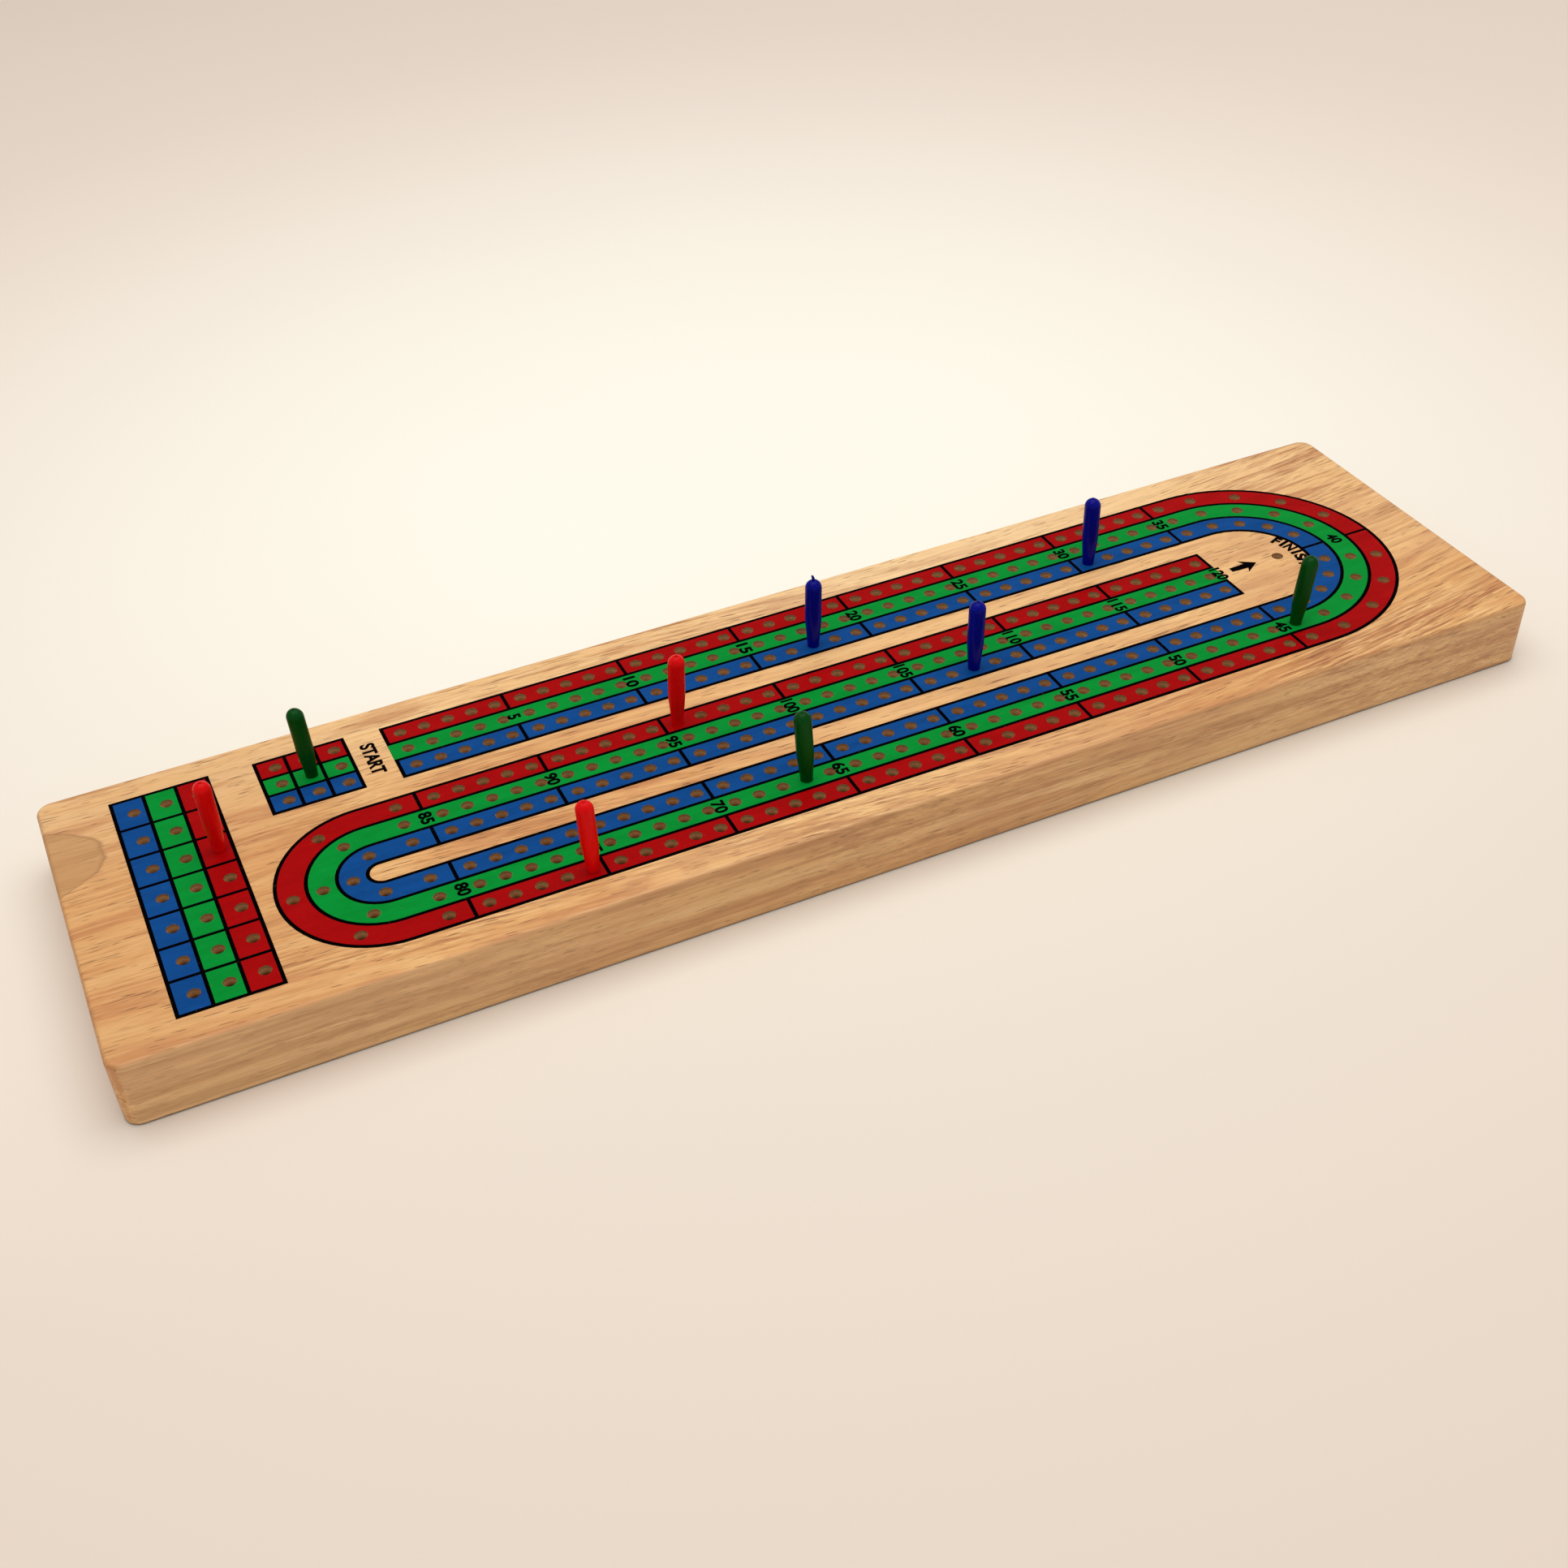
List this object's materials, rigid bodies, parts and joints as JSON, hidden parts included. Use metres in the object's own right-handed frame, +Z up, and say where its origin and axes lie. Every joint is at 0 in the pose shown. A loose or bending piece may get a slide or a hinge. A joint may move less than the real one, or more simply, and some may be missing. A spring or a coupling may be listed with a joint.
{
  "type": "cribbage board",
  "caption": "Flat wooden board with a continuous three-colour looped peg track, drilled blind for pegs, with pegs standing in it and a sliding metal cover over a peg store underneath.",
  "frame": {"origin": "centre of the board's underside", "axes": "+X along the board towards the finish end, +Y towards the back edge where the first street runs, +Z up out of the printed face"},
  "size_m": [0.3776, 0.0994, 0.0404],
  "materials": {
    "wood": "satin lacquer over straight-grained pale hardwood",
    "red_ink": "screen-printed ink under satin lacquer",
    "green_ink": "screen-printed ink under satin lacquer",
    "blue_ink": "screen-printed ink under satin lacquer",
    "black_ink": "screen-printed ink under satin lacquer",
    "cover_steel": "satin sheet steel",
    "red_peg_plastic": "moulded, slightly translucent, glossy",
    "green_peg_plastic": "moulded, slightly translucent, glossy",
    "blue_peg_plastic": "moulded, slightly translucent, glossy"
  },
  "bodies": {
    "board": {"board": "wood", "red_print": "red_ink", "green_print": "green_ink", "blue_print": "blue_ink", "black_print": "black_ink"},
    "storage_cover": {"storage_cover": "cover_steel"},
    "red_lead_peg": {"red_lead_peg": "red_peg_plastic"},
    "red_trail_peg": {"red_trail_peg": "red_peg_plastic"},
    "red_games_peg": {"red_games_peg": "red_peg_plastic"},
    "green_lead_peg": {"green_lead_peg": "green_peg_plastic"},
    "green_trail_peg": {"green_trail_peg": "green_peg_plastic"},
    "green_start_peg": {"green_start_peg": "green_peg_plastic"},
    "blue_lead_peg": {"blue_lead_peg": "blue_peg_plastic"},
    "blue_trail_peg": {"blue_trail_peg": "blue_peg_plastic"},
    "blue_third_peg": {"blue_third_peg": "blue_peg_plastic"}
  },
  "joints": [
    {"name": "storage_cover_slide", "type": "slide", "parent": "board", "child": "storage_cover", "axis": [1, 0, 0], "range_m": [0, 0.066]},
    {"name": "red_lead_peg_lift", "type": "slide", "parent": "board", "child": "red_lead_peg", "axis": [0, 0, 1], "range_m": [0, 0.03]},
    {"name": "red_trail_peg_lift", "type": "slide", "parent": "board", "child": "red_trail_peg", "axis": [0, 0, 1], "range_m": [0, 0.03]},
    {"name": "red_games_peg_lift", "type": "slide", "parent": "board", "child": "red_games_peg", "axis": [0, 0, 1], "range_m": [0, 0.03]},
    {"name": "green_lead_peg_lift", "type": "slide", "parent": "board", "child": "green_lead_peg", "axis": [0, 0, 1], "range_m": [0, 0.03]},
    {"name": "green_trail_peg_lift", "type": "slide", "parent": "board", "child": "green_trail_peg", "axis": [0, 0, 1], "range_m": [0, 0.03]},
    {"name": "green_start_peg_lift", "type": "slide", "parent": "board", "child": "green_start_peg", "axis": [0, 0, 1], "range_m": [0, 0.03]},
    {"name": "blue_lead_peg_lift", "type": "slide", "parent": "board", "child": "blue_lead_peg", "axis": [0, 0, 1], "range_m": [0, 0.03]},
    {"name": "blue_trail_peg_lift", "type": "slide", "parent": "board", "child": "blue_trail_peg", "axis": [0, 0, 1], "range_m": [0, 0.03]},
    {"name": "blue_third_peg_lift", "type": "slide", "parent": "board", "child": "blue_third_peg", "axis": [0, 0, 1], "range_m": [0, 0.03]}
  ]
}
